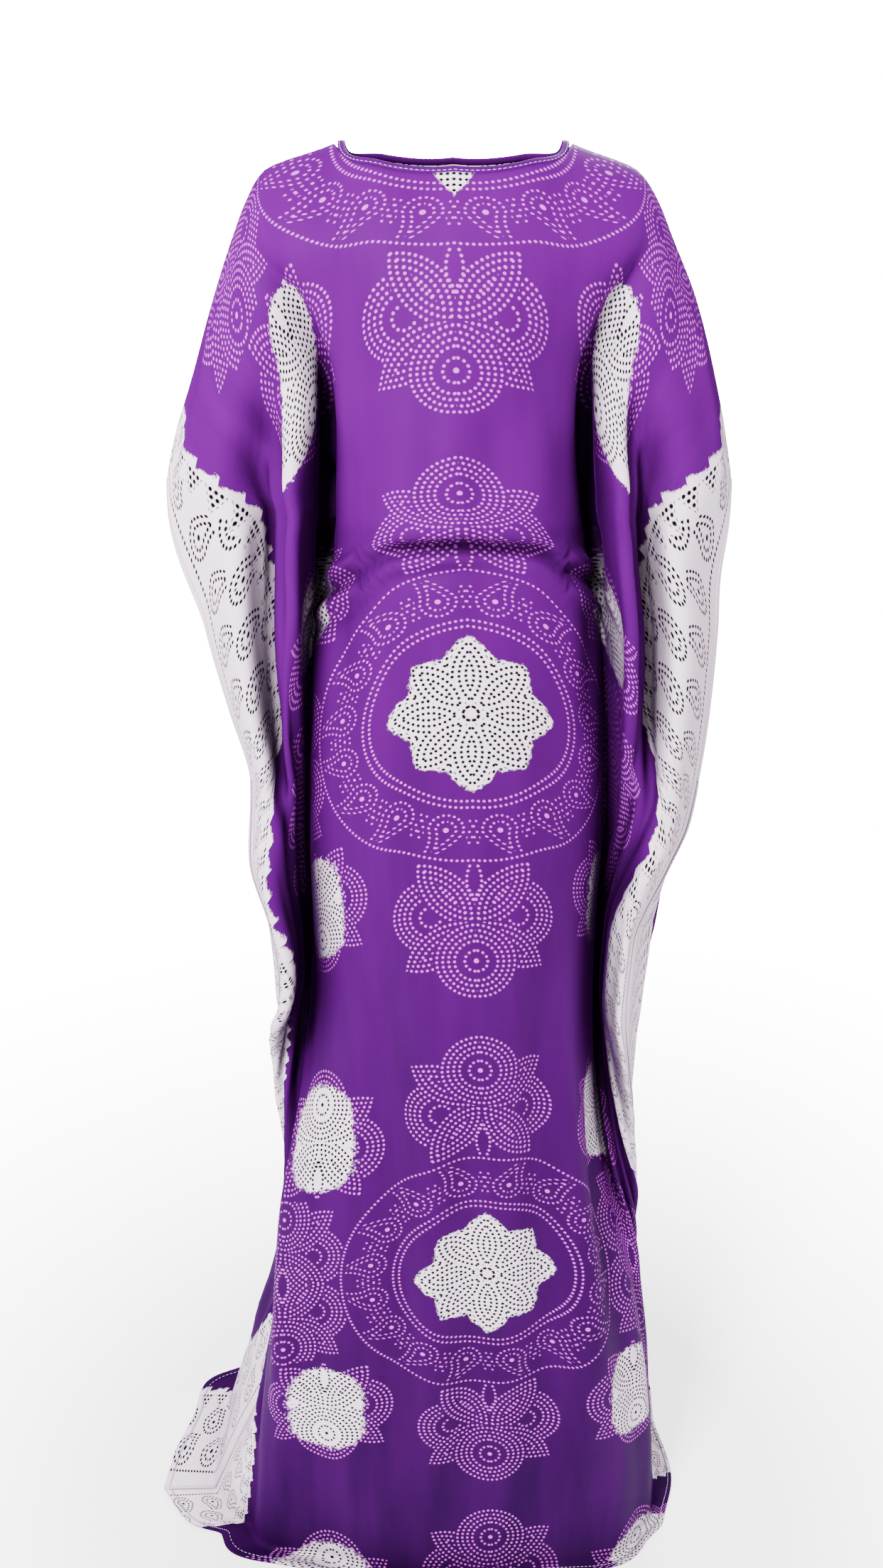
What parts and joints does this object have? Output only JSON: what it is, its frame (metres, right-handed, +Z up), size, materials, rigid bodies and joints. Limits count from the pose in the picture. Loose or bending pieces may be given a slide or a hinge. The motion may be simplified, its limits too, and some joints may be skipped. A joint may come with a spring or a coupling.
{
  "type": "baati dress",
  "caption": "Loose floor-length baati dress of thin printed cloth, folded over the shoulders and sewn down the sides, hanging as worn with a drawn-in waist.",
  "frame": {"origin": "the middle of the shoulder line, inside the neck hole, where the wearer holds the dress up", "axes": "+Z up, +X to the right as seen from the front, the front faces -Y"},
  "size_m": [0.6376, 0.4148, 1.5154],
  "materials": {
    "printed_cloth": "thin plain weave, printed in purple and white",
    "binding_cloth": "the same cloth cut on the bias, turned and stitched",
    "sewing_thread": "spun polyester thread"
  },
  "bodies": {
    "root": {"front": "printed_cloth", "back": "printed_cloth", "neck_binding": "binding_cloth"}
  },
  "joints": []
}
